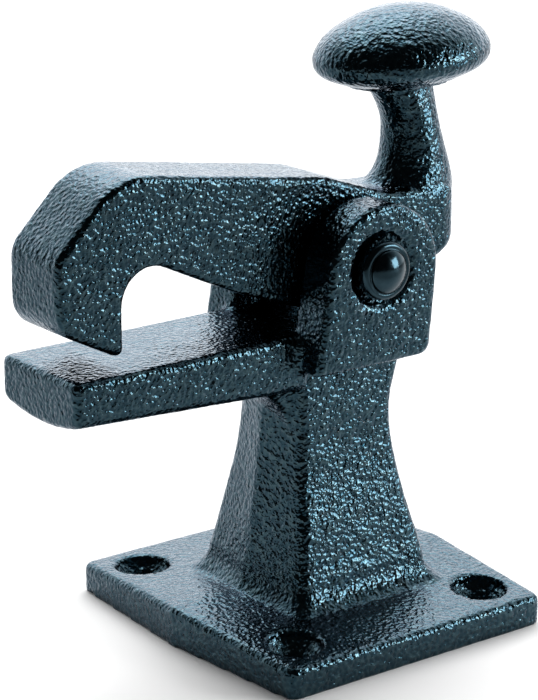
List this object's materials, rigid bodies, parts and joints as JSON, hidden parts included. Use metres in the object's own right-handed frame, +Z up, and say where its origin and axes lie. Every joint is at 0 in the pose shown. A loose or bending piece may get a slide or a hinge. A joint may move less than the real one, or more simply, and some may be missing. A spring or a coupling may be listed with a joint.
{
  "type": "jaw cleat with hinged hook lever",
  "caption": "Deck-mounted cast cleat: a hinged bevel-nosed hook with a palm pad closes on a fixed lower jaw and opens by pushing the pad back.",
  "frame": {"origin": "centre of the four-screw pattern on the underside of the base", "axes": "+Z up away from the deck, the jaw and hook point to -X, the pin lies along Y"},
  "size_m": [0.1286, 0.086, 0.1475],
  "materials": {
    "hammer_paint": "dark blue-green hammertone enamel",
    "cap_enamel": "smooth dark gloss",
    "pin_steel": "turned",
    "spring_steel": "stamped",
    "washer_nylon": "dark nylon"
  },
  "bodies": {
    "pedestal_body": {"pedestal": "hammer_paint", "pivot_pin": "pin_steel", "dome_cap_left": "cap_enamel", "dome_cap_right": "cap_enamel", "lock_washer_left": "spring_steel", "lock_washer_right": "spring_steel", "thrust_washer_left": "washer_nylon", "thrust_washer_right": "washer_nylon"},
    "lever_body": {"hook_lever": "hammer_paint"}
  },
  "joints": [
    {"name": "lever_pivot", "type": "hinge", "parent": "pedestal_body", "child": "lever_body", "pos_m": [0.0038, 0, 0.0906], "axis": [0, 1, 0], "range_deg": [0, 38]}
  ]
}
